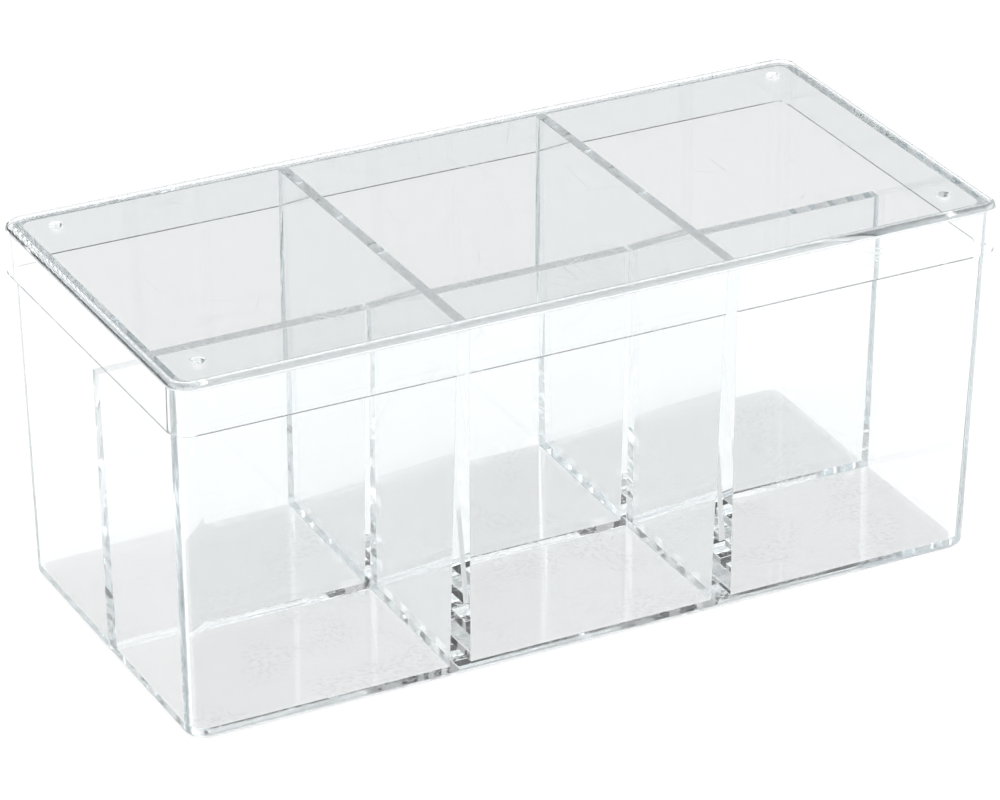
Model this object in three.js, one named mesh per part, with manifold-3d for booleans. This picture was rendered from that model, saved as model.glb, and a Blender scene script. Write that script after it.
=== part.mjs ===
// Clear storage box for playing-card decks: a drafted tray with six moulded-in
// compartments, and a shallow lid that drops over its rim.
// Millimetres, +Z up. The origin is the centre of the face the tray stands on.
import * as THREE from 'three';
import Module from 'manifold-3d';
import { mergeVertices } from 'three/addons/utils/BufferGeometryUtils.js';

const wasm = await Module();
wasm.setup();

// Overall size, with the lid on.
const LENGTH = 225;
const WIDTH = 106.5;
const HEIGHT = 97.5;

// Lid: a flat plate with a rounded rim edge and a shallow skirt.
const LID_PLATE = 2;
const LID_WALL = 1.2;
const LID_DEPTH = 13.5;
const LID_CORNER_RADIUS = 5.5;
const LID_EDGE_RADIUS = 2;
const LID_CLEARANCE = 0.3;

// Gate dimples: round blind marks near the corners of the lid's top face.
const DIMPLE_RADIUS = 1.5;
const DIMPLE_DEPTH = 1.5;
const DIMPLE_INSET = 11;

// Tray: the walls lean out from the foot to the rim and thin towards the rim.
const RIM_HEIGHT = HEIGHT - LID_PLATE - LID_CLEARANCE;
const RIM_LENGTH = LENGTH - 2 * (LID_WALL + LID_CLEARANCE);
const RIM_WIDTH = WIDTH - 2 * (LID_WALL + LID_CLEARANCE);
const FOOT_INSET = 1.95;
const TRAY_CORNER_RADIUS = 5.5;
const TRAY_EDGE_RADIUS = 2;
const FLOOR = 2.5;
const WALL_AT_RIM = 2.6;
const WALL_AT_FOOT = 3;
const POCKET_CORNER_RADIUS = 3;

// Dividers: two cross the tray just below the rim, one runs its length lower down.
// They meet the floor and the walls in sharp corners.
const BAYS_LONG = 3;
const DIVIDER_AT_RIM = 2.8;
const DIVIDER_AT_FOOT = 5.8;
const CROSS_DIVIDER_TOP = RIM_HEIGHT - 0.3;
const LONG_DIVIDER_TOP = 78;
const ROOT_DEPTH = 1;

// How finely the rounds are stepped.
const CORNER_STEPS = 5;
const EDGE_STEPS = 3;
const DIMPLE_SIDES = 20;
const CUT_MARGIN = 1;

// A square of half-size 2 with unit corner radii; loft() stretches it to each ring.
function unitOutline() {
  const outline = new THREE.Shape();
  outline.absarc(1, 1, 1, 0, Math.PI / 2);
  outline.absarc(-1, 1, 1, Math.PI / 2, Math.PI);
  outline.absarc(-1, -1, 1, Math.PI, 1.5 * Math.PI);
  outline.absarc(1, -1, 1, 1.5 * Math.PI, 2 * Math.PI);
  return outline;
}

// Moves one unit-outline coordinate to a side of a rectangle with round corners.
function stretch(unit, halfSize, radius) {
  const side = Math.sign(unit);
  return side * (halfSize - radius) + (unit - side) * radius;
}

// A closed body through rounded rectangles {z, length, width, radius}, lowest first.
function loft(rings) {
  const geometry = new THREE.ExtrudeGeometry(unitOutline(), {
    depth: 1,
    steps: rings.length - 1,
    bevelEnabled: false,
    curveSegments: CORNER_STEPS,
  });
  const position = geometry.attributes.position;
  for (let i = 0; i < position.count; i += 1) {
    const ring = rings[Math.round(position.getZ(i) * (rings.length - 1))];
    const x = stretch(position.getX(i), ring.length / 2, ring.radius);
    const y = stretch(position.getY(i), ring.width / 2, ring.radius);
    position.setXYZ(i, x, y, ring.z);
  }
  return geometry;
}

// Rings that round a horizontal edge, from the flat face at z out to the side wall.
function roundedEdge(z, direction, edgeRadius, sizeAt) {
  const rings = [];
  for (let step = 0; step <= EDGE_STEPS; step += 1) {
    const angle = (Math.PI / 2) * (step / EDGE_STEPS);
    const height = z + direction * edgeRadius * (1 - Math.cos(angle));
    const inset = edgeRadius * (1 - Math.sin(angle));
    const { length, width, radius } = sizeAt(height);
    rings.push({ z: height, length: length - 2 * inset, width: width - 2 * inset, radius });
  }
  return rings;
}

function toSolid(geometry) {
  const bare = geometry.clone();
  bare.deleteAttribute('normal');
  bare.deleteAttribute('uv');
  const merged = mergeVertices(bare, 1e-5);
  return new wasm.Manifold(new wasm.Mesh({
    numProp: 3,
    vertProperties: new Float32Array(merged.attributes.position.array),
    triVerts: new Uint32Array(merged.index.array),
  }));
}

function toMesh(name, solid, material) {
  const { vertProperties, triVerts } = solid.getMesh();
  const geometry = new THREE.BufferGeometry();
  geometry.setAttribute('position', new THREE.BufferAttribute(vertProperties, 3));
  geometry.setIndex(new THREE.BufferAttribute(triVerts, 1));
  geometry.computeVertexNormals();
  const mesh = new THREE.Mesh(geometry, material);
  mesh.name = name;
  return mesh;
}

function clearPlastic(color) {
  return new THREE.MeshStandardMaterial({
    color,
    roughness: 0.05,
    metalness: 0,
    transparent: true,
    opacity: 0.3,
  });
}

// 0 at the foot, 1 at the rim.
function rise(z) {
  return z / RIM_HEIGHT;
}

function traySize(z) {
  const inset = FOOT_INSET * (1 - rise(z));
  return {
    length: RIM_LENGTH - 2 * inset,
    width: RIM_WIDTH - 2 * inset,
    radius: TRAY_CORNER_RADIUS,
  };
}

function cavitySize(z) {
  const wall = THREE.MathUtils.lerp(WALL_AT_FOOT, WALL_AT_RIM, rise(z));
  const { length, width } = traySize(z);
  return { length: length - 2 * wall, width: width - 2 * wall, radius: POCKET_CORNER_RADIUS };
}

function trayShell() {
  const outside = loft([
    ...roundedEdge(0, 1, TRAY_EDGE_RADIUS, traySize),
    { z: RIM_HEIGHT, ...traySize(RIM_HEIGHT) },
  ]);
  const mouth = RIM_HEIGHT + CUT_MARGIN;
  const cavity = loft([
    { z: FLOOR, ...cavitySize(FLOOR) },
    { z: mouth, ...cavitySize(mouth) },
  ]);
  return toSolid(outside).subtract(toSolid(cavity));
}

// Half of a divider's thickness at a height above the tray's foot.
function dividerHalf(z) {
  return THREE.MathUtils.lerp(DIVIDER_AT_FOOT, DIVIDER_AT_RIM, rise(z)) / 2;
}

// A divider's section, thicker at the floor and rooted in it.
function dividerSection(top) {
  const root = FLOOR - ROOT_DEPTH;
  const section = new THREE.Shape();
  section.moveTo(-dividerHalf(root), root);
  section.lineTo(dividerHalf(root), root);
  section.lineTo(dividerHalf(top), top);
  section.lineTo(-dividerHalf(top), top);
  section.closePath();
  return section;
}

// A divider standing along Y, its ends rooted in walls that lean outwards.
function standingDivider(top, outerSpan) {
  const geometry = new THREE.ExtrudeGeometry(dividerSection(top), {
    depth: 2,
    bevelEnabled: false,
  });
  geometry.translate(0, 0, -1);
  geometry.rotateX(Math.PI / 2);
  const position = geometry.attributes.position;
  for (let i = 0; i < position.count; i += 1) {
    const end = Math.sign(position.getY(i));
    position.setY(i, end * (outerSpan(position.getZ(i)) / 2 - ROOT_DEPTH));
  }
  return geometry;
}

function crossDividers() {
  const innerLength = cavitySize(RIM_HEIGHT).length;
  const bay = (innerLength - (BAYS_LONG - 1) * DIVIDER_AT_RIM) / BAYS_LONG;
  const pitch = bay + DIVIDER_AT_RIM;
  const dividers = [];
  for (let i = 1; i < BAYS_LONG; i += 1) {
    const geometry = standingDivider(CROSS_DIVIDER_TOP, (z) => traySize(z).width);
    geometry.translate((i - BAYS_LONG / 2) * pitch, 0, 0);
    dividers.push(toSolid(geometry));
  }
  return dividers;
}

function longDivider() {
  const geometry = standingDivider(LONG_DIVIDER_TOP, (z) => traySize(z).length);
  geometry.rotateZ(Math.PI / 2);
  return toSolid(geometry);
}

function baseTray() {
  let tray = trayShell();
  for (const divider of [...crossDividers(), longDivider()]) {
    tray = tray.add(divider);
  }
  return toMesh('base_tray', tray, clearPlastic(0xe9f1f2));
}

function lidSize() {
  return { length: LENGTH, width: WIDTH, radius: LID_CORNER_RADIUS };
}

function lidShell() {
  const skirtBottom = HEIGHT - LID_DEPTH;
  const outside = loft([
    { z: skirtBottom, ...lidSize() },
    ...roundedEdge(HEIGHT, -1, LID_EDGE_RADIUS, lidSize).reverse(),
  ]);
  const hollow = {
    length: LENGTH - 2 * LID_WALL,
    width: WIDTH - 2 * LID_WALL,
    radius: LID_CORNER_RADIUS - LID_WALL,
  };
  const inside = loft([
    { z: skirtBottom - CUT_MARGIN, ...hollow },
    { z: HEIGHT - LID_PLATE, ...hollow },
  ]);
  return toSolid(outside).subtract(toSolid(inside));
}

function gateDimple(x, y) {
  const height = DIMPLE_DEPTH + CUT_MARGIN;
  const geometry = new THREE.CylinderGeometry(DIMPLE_RADIUS, DIMPLE_RADIUS, height, DIMPLE_SIDES);
  geometry.rotateX(Math.PI / 2);
  geometry.translate(x, y, HEIGHT - DIMPLE_DEPTH + height / 2);
  return toSolid(geometry);
}

function lid() {
  let shell = lidShell();
  for (const sideX of [-1, 1]) {
    for (const sideY of [-1, 1]) {
      const x = sideX * (LENGTH / 2 - DIMPLE_INSET);
      const y = sideY * (WIDTH / 2 - DIMPLE_INSET);
      shell = shell.subtract(gateDimple(x, y));
    }
  }
  return toMesh('lid', shell, clearPlastic(0xf2f6f6));
}

const cardDeckBox = new THREE.Group();
cardDeckBox.name = 'card_deck_box';
cardDeckBox.add(baseTray(), lid());

export default cardDeckBox;
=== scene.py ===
"""Looks for the clear card deck box: a divided tray and its lift-off lid, moulded in clear
polystyrene. Metres, +Z up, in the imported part's frame."""
import math

import bpy
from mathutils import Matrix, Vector
from mathutils.geometry import delaunay_2d_cdt


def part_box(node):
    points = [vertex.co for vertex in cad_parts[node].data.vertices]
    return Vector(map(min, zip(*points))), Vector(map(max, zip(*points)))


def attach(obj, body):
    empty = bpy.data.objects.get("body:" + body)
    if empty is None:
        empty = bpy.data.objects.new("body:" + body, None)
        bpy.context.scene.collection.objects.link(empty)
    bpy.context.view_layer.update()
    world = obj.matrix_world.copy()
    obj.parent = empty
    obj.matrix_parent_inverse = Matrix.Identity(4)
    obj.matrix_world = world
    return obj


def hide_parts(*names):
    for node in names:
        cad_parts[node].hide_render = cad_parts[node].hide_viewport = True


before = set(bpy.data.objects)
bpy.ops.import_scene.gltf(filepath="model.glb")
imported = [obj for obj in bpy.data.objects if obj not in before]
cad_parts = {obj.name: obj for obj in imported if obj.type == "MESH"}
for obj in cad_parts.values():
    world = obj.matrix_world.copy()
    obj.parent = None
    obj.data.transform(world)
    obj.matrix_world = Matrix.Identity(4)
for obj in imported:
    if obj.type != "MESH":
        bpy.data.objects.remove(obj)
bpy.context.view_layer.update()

MM = 0.001

# ---------------------------------------------------------------- sizes, from the frame

tray_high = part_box("base_tray")[1]
lid_low, lid_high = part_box("lid")

RIM = tray_high.z
TOP = lid_high.z
SKIRT = lid_low.z
TRAY_HALF_LENGTH = tray_high.x
TRAY_HALF_WIDTH = tray_high.y
LID_HALF_LENGTH = lid_high.x
LID_HALF_WIDTH = lid_high.y

# Tray: how the walls and dividers thin from the foot to the rim.
FOOT_INSET = 1.95 * MM
FLOOR = 2.5 * MM
WALL_AT_FOOT, WALL_AT_RIM = 3.0 * MM, 2.6 * MM
DIVIDER_AT_FOOT, DIVIDER_AT_RIM = 5.8 * MM, 2.8 * MM
LONG_DIVIDER_TOP = 78 * MM
TRAY_CORNER = 5.5 * MM
TRAY_EDGE = 2.0 * MM
POCKET_CORNER_AT_WALL = 3.0 * MM
POCKET_CORNER_AT_DIVIDER = 0.15 * MM
POCKET_EDGE = 0.2 * MM
RIM_ROUND = 0.2 * MM
LEDGE_ROUND = 0.15 * MM

# Lid: a flat plate, a rounded edge and a shallow skirt.
LID_PLATE = 2.0 * MM
LID_WALL = 1.2 * MM
LID_CORNER = 5.5 * MM
LID_EDGE = 1.9 * MM
LID_INNER_EDGE = 0.2 * MM
SKIRT_ROUND = 0.05 * MM
DIMPLE_RADIUS = 1.5 * MM
DIMPLE_DEPTH = 1.5 * MM
DIMPLE_INSET = 11 * MM

# Gate recesses: a softened mouth, a rounded floor and a flat collar that keeps the plate flat.
DIMPLE_MOUTH = 0.12 * MM
DIMPLE_FLOOR_ROUND = 0.3 * MM
DIMPLE_COLLAR = 1.0 * MM
DIMPLE_SIDES = 32

# How finely the rounds are stepped. The lid's edge is seen through itself, so it is the finest.
CORNER_STEPS = 32
EDGE_STEPS = 20
LID_EDGE_STEPS = 56
ROUND_STEPS = 4

# Faces that meet at more than this many degrees keep a crisp edge.
CRISP_EDGE = 50
CAP_TOLERANCE = 1e-8
# How much of the foot's edge round the tray's corners are drawn in by.
FOOT_CORNER_SHARE = 0.5


# ---------------------------------------------------------------- mesh helpers

def lerp(a, b, t):
    return a + (b - a) * t


def arc(centre, radius, start, steps=CORNER_STEPS, sweep=90.0):
    """Points round a quarter turn, angles in degrees, counter-clockwise."""
    points = []
    for i in range(steps + 1):
        angle = math.radians(start + sweep * i / steps)
        points.append((centre[0] + radius * math.cos(angle), centre[1] + radius * math.sin(angle)))
    return points


def rounded_outline(x, y, radii):
    """A counter-clockwise outline of the rectangle x=(low, high), y=(low, high).

    radii are for the corners high-high, low-high, low-low and high-low."""
    corners = ((x[1], y[1], -1, -1), (x[0], y[1], 1, -1), (x[0], y[0], 1, 1), (x[1], y[0], -1, 1))
    outline = []
    for i, (cx, cy, sx, sy) in enumerate(corners):
        r = radii[i]
        outline += arc((cx + sx * r, cy + sy * r), r, 90.0 * i)
    return outline


class Moulding:
    """Gathers the rings and faces of one moulded piece."""

    def __init__(self):
        self.verts = []
        self.faces = []

    def ring(self, outline, z):
        first = len(self.verts)
        self.verts += [(x, y, z) for x, y in outline]
        return list(range(first, len(self.verts)))

    def skin(self, lower, upper, inward=False):
        """Faces between two rings with as many points. inward turns them to face a pocket."""
        count = len(lower)
        for i in range(count):
            j = (i + 1) % count
            face = (lower[i], lower[j], upper[j], upper[i])
            self.faces.append(face[::-1] if inward else face)

    def skins(self, rings, inward=False):
        for lower, upper in zip(rings, rings[1:]):
            self.skin(lower, upper, inward)

    def cap(self, ring, up):
        self.faces.append(tuple(ring) if up else tuple(ring[::-1]))

    def cap_with_holes(self, outer, holes, up):
        """A flat face with holes in it, filled with triangles. Every ring is convex."""
        loops = [outer] + holes
        flat = [i for loop in loops for i in loop]
        owner = [k for k, loop in enumerate(loops) for _ in loop]
        points = [Vector(self.verts[i][:2]) for i in flat]
        edges = []
        for loop in loops:
            first, count = len(edges), len(loop)
            edges += [(first + i, first + (i + 1) % count) for i in range(count)]
        result = delaunay_2d_cdt(points, edges, [], 0, CAP_TOLERANCE)
        triangles, sources = result[2], result[3]
        for triangle in triangles:
            corners = [sources[k][0] for k in triangle]
            owners = {owner[k] for k in corners}
            if len(owners) == 1 and owners != {0}:
                continue
            a, b, c = (points[k] for k in corners)
            face = tuple(flat[k] for k in corners)
            turns_left = (b - a).cross(c - a) > 0
            self.faces.append(face if turns_left == up else face[::-1])

    def build(self, name):
        mesh = bpy.data.meshes.new(name)
        mesh.from_pydata(self.verts, [], self.faces)
        mesh.validate()
        mesh.update()
        piece = bpy.data.objects.new(name, mesh)
        bpy.context.scene.collection.objects.link(piece)
        mesh.shade_smooth()
        mesh.set_sharp_from_angle(angle=math.radians(CRISP_EDGE))
        weighted = piece.modifiers.new("flat_faces_stay_flat", "WEIGHTED_NORMAL")
        weighted.keep_sharp = True
        weighted.weight = 100
        return piece


def edge_profile(radius, steps=EDGE_STEPS):
    """(inset, rise) pairs for a quarter round, from the flat face to the side wall."""
    profile = []
    for i in range(steps + 1):
        angle = math.radians(90.0 * i / steps)
        profile.append((radius * (1 - math.sin(angle)), radius * (1 - math.cos(angle))))
    return profile


# ---------------------------------------------------------------- the tray

def rise(z):
    return z / RIM


def tray_half(z):
    inset = FOOT_INSET * (1 - rise(z))
    return TRAY_HALF_LENGTH - inset, TRAY_HALF_WIDTH - inset


def cavity_half(z):
    wall = lerp(WALL_AT_FOOT, WALL_AT_RIM, rise(z))
    x, y = tray_half(z)
    return x - wall, y - wall


def divider_half(z):
    return lerp(DIVIDER_AT_FOOT, DIVIDER_AT_RIM, rise(z)) / 2


BAY = (2 * cavity_half(RIM)[0] - 2 * DIVIDER_AT_RIM) / 3
PITCH = BAY + DIVIDER_AT_RIM
COLUMNS = (-1, 0, 1)


def column_sides(column, z):
    """Where a bay's two end faces stand at a height."""
    half = divider_half(z)
    low = -cavity_half(z)[0] if column == -1 else (column - 0.5) * PITCH + half
    high = cavity_half(z)[0] if column == 1 else (column + 0.5) * PITCH - half
    return low, high


def corner_radius(column, side):
    """A pocket's vertical corner is fuller against the outer wall's corner."""
    return POCKET_CORNER_AT_WALL if column == side else POCKET_CORNER_AT_DIVIDER


def full_outline(column, z, inset):
    """A bay's whole outline above the long divider, with points where that divider meets it."""
    low, high = column_sides(column, z)
    y = cavity_half(z)[1]
    x = (low - inset, high + inset)
    left, right = corner_radius(column, -1) + inset, corner_radius(column, 1) + inset
    outline = rounded_outline(x, (-y - inset, y + inset), (right, left, left, right))
    quarter = CORNER_STEPS + 1
    meet = divider_half(LONG_DIVIDER_TOP) + POCKET_CORNER_AT_DIVIDER
    return (outline[:2 * quarter] + [(x[0], meet), (x[0], -meet)]
            + outline[2 * quarter:] + [(x[1], -meet), (x[1], meet)])


def pocket_outline(column, row, z, inset=0.0, flare=0.0):
    """One compartment's outline. row is -1 in front of the long divider and 1 behind it.

    inset draws it in for the tiny round at the floor; flare leans its divider side back at the ledge."""
    low, high = column_sides(column, z)
    y_wall = cavity_half(z)[1] - inset
    y_divider = divider_half(z) + inset
    left, right = corner_radius(column, -1), corner_radius(column, 1)
    near = POCKET_CORNER_AT_DIVIDER
    x = (low + inset, high - inset)
    if row == 1:
        outline = rounded_outline(x, (y_divider, y_wall), (right, left, near, near))
    else:
        outline = rounded_outline(x, (-y_wall, -y_divider), (near, near, left, right))
    if flare:
        limit = y_divider + near
        leaned = []
        for px, py in outline:
            reach = max(0.0, (limit - abs(py)) / near)
            leaned.append((px, py - row * flare * min(1.0, reach) ** 2))
        outline = leaned
    return outline


def add_column(tray, column):
    """One bay: its mouth, the space over the long divider, the ledge and two compartments."""
    rings = []
    for inset, drop in edge_profile(RIM_ROUND, ROUND_STEPS):
        rings.append(tray.ring(full_outline(column, RIM - drop, inset), RIM - drop))
    mouth = rings[0]
    split = tray.ring(full_outline(column, LONG_DIVIDER_TOP, 0.0), LONG_DIVIDER_TOP)
    rings.append(split)
    tray.skins(rings[::-1], inward=True)

    quarter = CORNER_STEPS + 1
    back_corners = split[: 2 * quarter]
    left_back, left_front = split[2 * quarter], split[2 * quarter + 1]
    front_corners = split[2 * quarter + 2: 4 * quarter + 2]
    right_front, right_back = split[4 * quarter + 2], split[4 * quarter + 3]

    ledges = {}
    for row in (1, -1):
        flares = edge_profile(LEDGE_ROUND, ROUND_STEPS)
        top = pocket_outline(column, row, LONG_DIVIDER_TOP, flare=flares[0][0])
        if row == 1:
            inner = tray.ring(top[2 * quarter + 1: 4 * quarter - 1], LONG_DIVIDER_TOP)
            ring = back_corners + [left_back] + inner + [right_back]
            ledges[row] = [left_back] + inner + [right_back]
        else:
            inner = tray.ring(top[1: 2 * quarter - 1], LONG_DIVIDER_TOP)
            ring = [right_front] + inner + [left_front] + front_corners
            ledges[row] = [right_front] + inner + [left_front]
        rings = [ring]
        for flare, drop in flares[1:]:
            z = LONG_DIVIDER_TOP - drop
            rings.append(tray.ring(pocket_outline(column, row, z, flare=flare), z))
        for inset, lift in edge_profile(POCKET_EDGE, ROUND_STEPS)[::-1]:
            z = FLOOR + lift
            rings.append(tray.ring(pocket_outline(column, row, z, inset=inset), z))
        tray.skins(rings[::-1], inward=True)
        tray.cap(rings[-1], up=True)

    back, front = ledges[1], ledges[-1][::-1]
    for i in range(len(back) - 1):
        tray.faces.append((front[i], front[i + 1], back[i + 1], back[i]))
    return mouth


def build_tray():
    tray = Moulding()
    radii = (TRAY_CORNER,) * 4
    rings = []
    for inset, lift in edge_profile(TRAY_EDGE):
        x, y = (half - inset for half in tray_half(lift))
        corner = (TRAY_CORNER - inset * FOOT_CORNER_SHARE,) * 4
        rings.append(tray.ring(rounded_outline((-x, x), (-y, y), corner), lift))
    for inset, drop in edge_profile(RIM_ROUND, ROUND_STEPS)[::-1]:
        z = RIM - drop
        x, y = (half - inset for half in tray_half(z))
        rings.append(tray.ring(rounded_outline((-x, x), (-y, y), radii), z))
    tray.skins(rings)
    tray.cap(rings[0], up=False)
    mouths = [add_column(tray, column) for column in COLUMNS]
    tray.cap_with_holes(rings[-1], mouths, up=True)
    return tray.build("tray_moulding")


# ---------------------------------------------------------------- the lid

def lid_outline(inset):
    x, y = LID_HALF_LENGTH - inset, LID_HALF_WIDTH - inset
    return rounded_outline((-x, x), (-y, y), (LID_CORNER - inset,) * 4)


def build_lid():
    lid = Moulding()
    outside = []
    for inset, lift in edge_profile(SKIRT_ROUND, ROUND_STEPS):
        outside.append(lid.ring(lid_outline(inset), SKIRT + lift))
    for inset, drop in edge_profile(LID_EDGE, LID_EDGE_STEPS)[::-1]:
        outside.append(lid.ring(lid_outline(inset), TOP - drop))
    lid.skins(outside)
    ceiling = TOP - LID_PLATE
    inside = []
    for inset, lift in edge_profile(SKIRT_ROUND, ROUND_STEPS):
        inside.append(lid.ring(lid_outline(LID_WALL - inset), SKIRT + lift))
    for inset, drop in edge_profile(LID_INNER_EDGE, ROUND_STEPS)[::-1]:
        inside.append(lid.ring(lid_outline(LID_WALL + inset), ceiling - drop))
    lid.skins(inside, inward=True)
    lid.cap(inside[-1], up=False)
    lid.skin(inside[0], outside[0])

    gates = [(side_x * (LID_HALF_LENGTH - DIMPLE_INSET), side_y * (LID_HALF_WIDTH - DIMPLE_INSET))
             for side_x in (-1, 1) for side_y in (-1, 1)]
    lid.cap_with_holes(outside[-1], [add_dimple(lid, centre) for centre in gates], up=True)
    return lid.build("lid_moulding")


def add_dimple(lid, centre):
    """A round gate recess with a softened mouth and floor, sunk in the top face."""
    stages = [(DIMPLE_RADIUS + DIMPLE_COLLAR, 0.0)]
    for angle in (0.0, math.pi / 4, math.pi / 2):
        stages.append((DIMPLE_RADIUS + DIMPLE_MOUTH * (1 - math.sin(angle)),
                       DIMPLE_MOUTH * (1 - math.cos(angle))))
    for angle in (0.0, math.pi / 6, math.pi / 3, math.pi / 2):
        stages.append((DIMPLE_RADIUS - DIMPLE_FLOOR_ROUND * (1 - math.cos(angle)),
                       DIMPLE_DEPTH - DIMPLE_FLOOR_ROUND + DIMPLE_FLOOR_ROUND * math.sin(angle)))
    rings = []
    for radius, depth in stages:
        rings.append(lid.ring(arc(centre, radius, 0.0, DIMPLE_SIDES, 360.0)[:-1], TOP - depth))
    lid.skins(rings[::-1], inward=True)
    lid.cap(rings[-1], up=True)
    return rings[0]


# ---------------------------------------------------------------- materials

# The plastic's own tint: what a metre of it takes out of each colour is (1 - tint) * density.
TINT = (0.35, 0.54, 0.6, 1.0)
TINT_DENSITY = 1.5
POLYSTYRENE_IOR = 1.59
CLEAN = (0.975, 0.983, 0.986, 1.0)
MARKED = (0.84, 0.85, 0.85, 1.0)
MARK_ROUGHNESS = 0.35
RIPPLE_DEPTH = 0.012 * MM
GATE_FROST = 0.12

# Patterns to the metre: a larger number makes a finer pattern.
HAIRLINE_NET = 34.0
HAIRLINE_BREAKS = 90.0
SPECK_CELLS = 240.0
GRIT = 900.0
RUBBED_PATCHES = 60.0
FLOW = 22.0

# The stretch of each pattern over which a mark fades in.
HAIRLINE_EDGE = (0.006, 0.002)
HAIRLINE_KEPT = (0.56, 0.64)
SPECK_EDGE = (0.10, 0.05)
SPECK_CHOSEN = (0.86, 0.88)
FACING_UP = (0.5, 0.9)
GRIT_KEPT = (0.52, 0.62)
PATCH_KEPT = (0.45, 0.6)

FLOAT, VECTOR, COLOUR = "NodeSocketFloat", "NodeSocketVector", "NodeSocketColor"


def add_node(tree, kind, settings=(), values=(), inputs=()):
    """A node with its settings, its sockets' plain values and its incoming links."""
    node = tree.nodes.new(kind)
    for name, setting in settings:
        setattr(node, name, setting)
    for socket, value in values:
        node.inputs[socket].default_value = value
    for socket, source in inputs:
        tree.links.new(source, node.inputs[socket])
    return node


def math_node(tree, operation, first, second=None):
    """One sum on two numbers or sockets."""
    node = add_node(tree, "ShaderNodeMath", settings=[("operation", operation)])
    for socket, term in enumerate((first, second)):
        if isinstance(term, (int, float)):
            node.inputs[socket].default_value = term
        elif term is not None:
            tree.links.new(term, node.inputs[socket])
    return node.outputs[0]


def ramp_node(tree, value, low, high):
    """0 below low, 1 above high and smooth between; it falls instead where low is the larger."""
    node = add_node(tree, "ShaderNodeMapRange", settings=[("interpolation_type", "SMOOTHSTEP")],
                    values=[("From Min", low), ("From Max", high)], inputs=[("Value", value)])
    return node.outputs["Result"]


def noise_node(tree, place, scale):
    """A plain one-octave noise."""
    node = add_node(tree, "ShaderNodeTexNoise", values=[("Scale", scale), ("Detail", 0.0)],
                    inputs=[("Vector", place)])
    return node.outputs["Fac"]


def new_group(name, inputs, outputs):
    """An empty shader group with inputs and outputs [(name, socket kind)]."""
    group = bpy.data.node_groups.new(name, "ShaderNodeTree")
    for direction, sockets in (("INPUT", inputs), ("OUTPUT", outputs)):
        for label, kind in sockets:
            group.interface.new_socket(label, in_out=direction, socket_type=kind)
    return group, group.nodes.new("NodeGroupInput"), group.nodes.new("NodeGroupOutput")


def hairline_scratches_group():
    """Short straight hairlines in every direction: pieces of a net of thin lines, broken up."""
    group, given, result = new_group(
        "hairline_scratches", [("Spacing", FLOAT), ("Amount", FLOAT)], [("Mask", FLOAT)])
    place = add_node(group, "ShaderNodeTexCoord").outputs["Object"]
    net = add_node(group, "ShaderNodeTexVoronoi", settings=[("feature", "DISTANCE_TO_EDGE")],
                   inputs=[("Vector", place), ("Scale", given.outputs["Spacing"])])
    line = ramp_node(group, net.outputs["Distance"], *HAIRLINE_EDGE)
    kept = ramp_node(group, noise_node(group, place, HAIRLINE_BREAKS), *HAIRLINE_KEPT)
    segments = math_node(group, "MULTIPLY", line, kept)
    group.links.new(math_node(group, "MULTIPLY", segments, given.outputs["Amount"]), result.inputs["Mask"])
    return group


def settled_dust_group():
    """Sparse specks of dust, only on faces that look up."""
    group, given, result = new_group(
        "settled_dust", [("Density", FLOAT), ("Amount", FLOAT)], [("Mask", FLOAT)])
    place = add_node(group, "ShaderNodeTexCoord").outputs["Object"]
    specks = add_node(group, "ShaderNodeTexVoronoi",
                      inputs=[("Vector", place), ("Scale", given.outputs["Density"])])
    round_speck = ramp_node(group, specks.outputs["Distance"], *SPECK_EDGE)
    lot = add_node(group, "ShaderNodeSeparateColor", inputs=[("Color", specks.outputs["Color"])])
    chosen = ramp_node(group, lot.outputs["Red"], *SPECK_CHOSEN)
    facing = add_node(group, "ShaderNodeNewGeometry").outputs["True Normal"]
    upward = add_node(group, "ShaderNodeSeparateXYZ", inputs=[("Vector", facing)])
    level = ramp_node(group, upward.outputs["Z"], *FACING_UP)
    mask = math_node(group, "MULTIPLY", math_node(group, "MULTIPLY", round_speck, chosen), level)
    group.links.new(math_node(group, "MULTIPLY", mask, given.outputs["Amount"]), result.inputs["Mask"])
    return group


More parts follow.
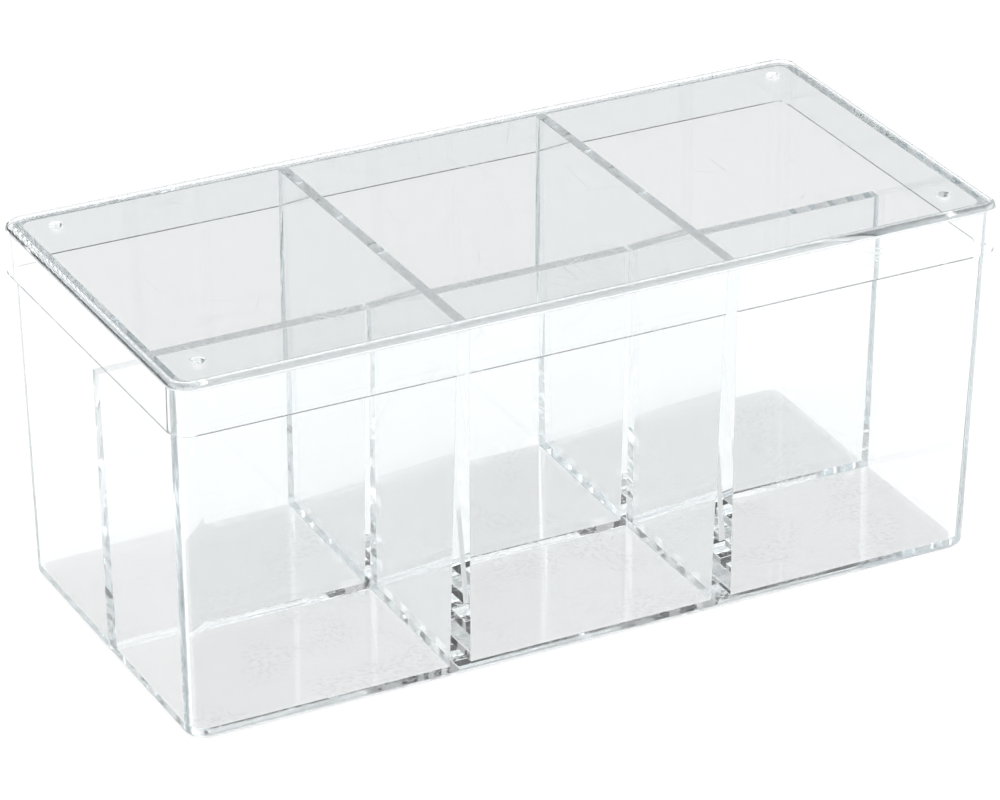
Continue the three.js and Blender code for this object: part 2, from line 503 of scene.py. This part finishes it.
def moulded_skin_group(scratches, dust):
    """What moulding and handling leave on clear plastic: slow flow ripples, hairline scratches,
    dust, and scuffs where an edge rubs."""
    group, given, result = new_group(
        "moulded_skin",
        [(label, FLOAT) for label in ("Ripple", "Scratches", "Dust", "Rubbed Edge", "Scuffs")],
        [("Colour", COLOUR), ("Roughness", FLOAT), ("Normal", VECTOR)])
    place = add_node(group, "ShaderNodeTexCoord").outputs["Object"]

    hairlines = add_node(group, "ShaderNodeGroup", settings=[("node_tree", scratches)],
                         values=[("Spacing", HAIRLINE_NET)], inputs=[("Amount", given.outputs["Scratches"])])
    specks = add_node(group, "ShaderNodeGroup", settings=[("node_tree", dust)],
                      values=[("Density", SPECK_CELLS)], inputs=[("Amount", given.outputs["Dust"])])
    grit = ramp_node(group, noise_node(group, place, GRIT), *GRIT_KEPT)
    patches = ramp_node(group, noise_node(group, place, RUBBED_PATCHES), *PATCH_KEPT)
    rubbed = math_node(group, "MULTIPLY", grit, patches)
    rubbed = math_node(group, "MULTIPLY", rubbed, given.outputs["Rubbed Edge"])
    scuffs = math_node(group, "MULTIPLY", rubbed, given.outputs["Scuffs"])

    marks = math_node(group, "MAXIMUM", hairlines.outputs["Mask"], scuffs)
    marks = math_node(group, "MAXIMUM", marks, specks.outputs["Mask"])
    group.links.new(math_node(group, "MULTIPLY", marks, MARK_ROUGHNESS), result.inputs["Roughness"])

    colour = add_node(group, "ShaderNodeMix", settings=[("data_type", "RGBA")],
                      values=[("A", CLEAN), ("B", MARKED)], inputs=[("Factor", marks)])
    group.links.new(colour.outputs["Result"], result.inputs["Colour"])

    depth = math_node(group, "MULTIPLY", noise_node(group, place, FLOW), given.outputs["Ripple"])
    ripple = add_node(group, "ShaderNodeBump", values=[("Strength", 1.0), ("Distance", RIPPLE_DEPTH)],
                      inputs=[("Height", depth)])
    group.links.new(ripple.outputs["Normal"], result.inputs["Normal"])
    return group


def height_mask(tree, heights):
    """1 in the rubbed bands: each (middle, half depth) in metres above the foot."""
    place = add_node(tree, "ShaderNodeTexCoord").outputs["Object"]
    height = add_node(tree, "ShaderNodeSeparateXYZ", inputs=[("Vector", place)]).outputs["Z"]
    mask = None
    for middle, reach in heights:
        gap = math_node(tree, "ABSOLUTE", math_node(tree, "SUBTRACT", height, middle))
        band = ramp_node(tree, gap, reach, reach / 3)
        mask = band if mask is None else math_node(tree, "MAXIMUM", mask, band)
    return mask


def gate_mask(tree):
    """1 inside the four gate recesses, which are left frosted where the sprues broke off."""
    place = add_node(tree, "ShaderNodeTexCoord").outputs["Object"]
    folded = add_node(tree, "ShaderNodeVectorMath", settings=[("operation", "ABSOLUTE")],
                      inputs=[("Vector", place)])
    gate = (LID_HALF_LENGTH - DIMPLE_INSET, LID_HALF_WIDTH - DIMPLE_INSET, TOP)
    gap = add_node(tree, "ShaderNodeVectorMath", settings=[("operation", "SUBTRACT")],
                   values=[(1, gate)], inputs=[(0, folded.outputs["Vector"])])
    flat = add_node(tree, "ShaderNodeVectorMath", settings=[("operation", "MULTIPLY")],
                    values=[(1, (1, 1, 0))], inputs=[(0, gap.outputs["Vector"])])
    away = add_node(tree, "ShaderNodeVectorMath", settings=[("operation", "LENGTH")],
                    inputs=[(0, flat.outputs["Vector"])])
    near = ramp_node(tree, away.outputs["Value"], DIMPLE_RADIUS + 0.2 * MM, DIMPLE_RADIUS)
    height = add_node(tree, "ShaderNodeSeparateXYZ", inputs=[("Vector", place)]).outputs["Z"]
    underside = TOP - LID_PLATE
    high = ramp_node(tree, height, underside + 0.1 * MM, underside + 0.3 * MM)
    return math_node(tree, "MULTIPLY", near, high)


def clear_polystyrene(name, skin, wear, rubbed_heights, frosted_gates=False):
    """Clear polystyrene with a faint cool tint. wear holds the skin group's own amounts."""
    material = bpy.data.materials.new(name)
    material.use_nodes = True
    tree = material.node_tree
    tree.nodes.clear()
    marks = add_node(tree, "ShaderNodeGroup", settings=[("node_tree", skin)], values=wear,
                     inputs=[("Rubbed Edge", height_mask(tree, rubbed_heights))])
    roughness = marks.outputs["Roughness"]
    if frosted_gates:
        frost = math_node(tree, "MULTIPLY", gate_mask(tree), GATE_FROST)
        roughness = math_node(tree, "MAXIMUM", roughness, frost)
    plastic = add_node(tree, "ShaderNodeBsdfPrincipled",
                       values=[("IOR", POLYSTYRENE_IOR), ("Transmission Weight", 1.0)],
                       inputs=[("Base Color", marks.outputs["Colour"]), ("Roughness", roughness),
                               ("Normal", marks.outputs["Normal"])])
    tint = add_node(tree, "ShaderNodeVolumeAbsorption", values=[("Color", TINT), ("Density", TINT_DENSITY)])
    output = add_node(tree, "ShaderNodeOutputMaterial")
    tree.links.new(plastic.outputs["BSDF"], output.inputs["Surface"])
    tree.links.new(tint.outputs["Volume"], output.inputs["Volume"])
    return material


# ---------------------------------------------------------------- studio

FLOOR_REACH = 12.0
FLOOR_DROP = 0.3 * MM
FLOOR_TONE = 0.3
FLOOR_GLOW = 0.84

# Softboxes round the box, in degrees: bearing clockwise from +Y, half width, lowest and
# highest elevation, then brightness, added to the room's glow. The first is a dark gap behind
# the box, which takes most of that glow away and gives the clear edges their dark lines.
ROOM_GLOW = 0.45
BACKDROP_GLOW = 1.0
SOFTBOXES = (
    (27, 17, 19, 35, -0.40),
    (60, 14, 4, 40, 0.5),
    (27, 24, -1, 17, 0.7),
    (104, 26, 14, 42, 2.3),
    (192, 24, 14, 62, 2.2),
    (284, 26, 14, 42, 1.4),
    (27, 40, 37, 66, 1.9),
)
PANEL_FEATHER = 2.0


def build_stage():
    reach = FLOOR_REACH
    corners = [(-reach, -reach, 0), (reach, -reach, 0), (reach, reach, 0), (-reach, reach, 0)]
    mesh = bpy.data.meshes.new("floor")
    mesh.from_pydata(corners, [], [(0, 1, 2, 3)])
    floor = bpy.data.objects.new("floor", mesh)
    floor.location.z = -FLOOR_DROP
    bpy.context.scene.collection.objects.link(floor)
    material = bpy.data.materials.new("pale_floor")
    material.use_nodes = True
    shader = material.node_tree.nodes["Principled BSDF"]
    shader.inputs["Base Color"].default_value = (FLOOR_TONE, FLOOR_TONE, FLOOR_TONE, 1)
    shader.inputs["Roughness"].default_value = 1.0
    shader.inputs["Specular IOR Level"].default_value = 0.0
    shader.inputs["Emission Color"].default_value = (1, 1, 1, 1)
    shader.inputs["Emission Strength"].default_value = FLOOR_GLOW
    mesh.materials.append(material)


def softbox_group():
    """One feathered panel of light on the studio's dome, as a shader node group."""
    group, given, result = new_group(
        "softbox",
        [("Height", FLOAT), ("Bearing", VECTOR), ("Centre", VECTOR), ("Half Width", FLOAT),
         ("Low", FLOAT), ("High", FLOAT), ("Brightness", FLOAT)],
        [("Light", FLOAT)])
    elevation = math_node(group, "DEGREES", math_node(group, "ARCSINE", given.outputs["Height"]))
    aim = add_node(group, "ShaderNodeVectorMath", settings=[("operation", "DOT_PRODUCT")],
                   inputs=[(0, given.outputs["Bearing"]), (1, given.outputs["Centre"])])
    swing = math_node(group, "DEGREES", math_node(group, "ARCCOSINE", aim.outputs["Value"]))
    above = math_node(group, "SUBTRACT", elevation, given.outputs["Low"])
    below = math_node(group, "SUBTRACT", given.outputs["High"], elevation)
    within = math_node(group, "SUBTRACT", given.outputs["Half Width"], swing)
    light = given.outputs["Brightness"]
    for margin in (above, below, within):
        mask = ramp_node(group, margin, -PANEL_FEATHER / 2, PANEL_FEATHER / 2)
        light = math_node(group, "MULTIPLY", light, mask)
    group.links.new(light, result.inputs["Light"])
    return group


def build_world():
    """Softboxes in a dim room. The camera sees a plain pale backdrop in their place."""
    world = bpy.data.worlds.new("studio")
    bpy.context.scene.world = world
    world.use_nodes = True
    tree = world.node_tree
    direction = add_node(tree, "ShaderNodeTexCoord").outputs["Generated"]
    height = add_node(tree, "ShaderNodeSeparateXYZ", inputs=[("Vector", direction)]).outputs["Z"]
    level = add_node(tree, "ShaderNodeVectorMath", settings=[("operation", "MULTIPLY")],
                     values=[(1, (1, 1, 0))], inputs=[(0, direction)])
    bearing = add_node(tree, "ShaderNodeVectorMath", settings=[("operation", "NORMALIZE")],
                       inputs=[(0, level.outputs["Vector"])])
    softbox = softbox_group()
    light = ROOM_GLOW
    for centre, half_width, low, high, brightness in SOFTBOXES:
        aim = math.radians(centre)
        panel = add_node(tree, "ShaderNodeGroup", settings=[("node_tree", softbox)],
                         values=[("Centre", (math.sin(aim), math.cos(aim), 0)), ("Half Width", half_width),
                                 ("Low", low), ("High", high), ("Brightness", brightness)],
                         inputs=[("Height", height), ("Bearing", bearing.outputs["Vector"])])
        light = math_node(tree, "ADD", light, panel.outputs["Light"])

    seen_directly = add_node(tree, "ShaderNodeLightPath").outputs["Is Camera Ray"]
    backdrop = add_node(tree, "ShaderNodeMix", values=[("B", BACKDROP_GLOW)],
                        inputs=[("Factor", seen_directly), ("A", light)])
    background = tree.nodes["Background"]
    background.inputs["Color"].default_value = (1, 1, 1, 1)
    tree.links.new(backdrop.outputs["Result"], background.inputs["Strength"])


# ---------------------------------------------------------------- camera

SENSOR_WIDTH = 36
LENS = 182.2
CAMERA_AZIMUTH = -27.34
CAMERA_ELEVATION = 26.78
CAMERA_DISTANCE = 1.2648
CAMERA_TARGET = Vector((-0.00416, -0.00665, TOP / 2))

# Light crosses and bounces inside the clear walls many times before it leaves them.
CLEAR_BOUNCES = 96
DIFFUSE_BOUNCES = 3


def build_camera():
    camera = bpy.data.objects.new("camera", bpy.data.cameras.new("camera"))
    bpy.context.scene.collection.objects.link(camera)
    camera.data.sensor_width = SENSOR_WIDTH
    camera.data.lens = LENS
    azimuth, elevation = math.radians(CAMERA_AZIMUTH), math.radians(CAMERA_ELEVATION)
    back = Vector((math.sin(azimuth) * math.cos(elevation), -math.cos(azimuth) * math.cos(elevation),
                   math.sin(elevation)))
    camera.location = CAMERA_TARGET + back * CAMERA_DISTANCE
    camera.rotation_mode = "QUATERNION"
    camera.rotation_quaternion = (-back).to_track_quat("-Z", "Y")
    camera.data.clip_start, camera.data.clip_end = 0.01, 50
    bpy.context.scene.camera = camera


def set_up_rendering():
    scene = bpy.context.scene
    scene.view_settings.view_transform = "Standard"
    scene.cycles.max_bounces = CLEAR_BOUNCES
    scene.cycles.transmission_bounces = CLEAR_BOUNCES
    scene.cycles.glossy_bounces = CLEAR_BOUNCES
    scene.cycles.diffuse_bounces = DIFFUSE_BOUNCES
    scene.cycles.use_denoising = True


# ---------------------------------------------------------------- the scene

tray = build_tray()
lid = build_lid()
skin = moulded_skin_group(hairline_scratches_group(), settled_dust_group())
tray.data.materials.append(clear_polystyrene(
    "tray_polystyrene", skin,
    [("Ripple", 1.0), ("Scratches", 0.35), ("Dust", 0.3), ("Scuffs", 0.6)],
    [(0.0, 2 * MM), (RIM, 0.6 * MM)]))
lid.data.materials.append(clear_polystyrene(
    "lid_polystyrene", skin,
    [("Ripple", 0.7), ("Scratches", 0.5), ("Dust", 0.5), ("Scuffs", 0.7)],
    [(SKIRT, 0.8 * MM)], frosted_gates=True))
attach(tray, "tray")
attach(lid, "lid")
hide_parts("base_tray")
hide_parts("lid")

build_stage()
build_world()
build_camera()
set_up_rendering()
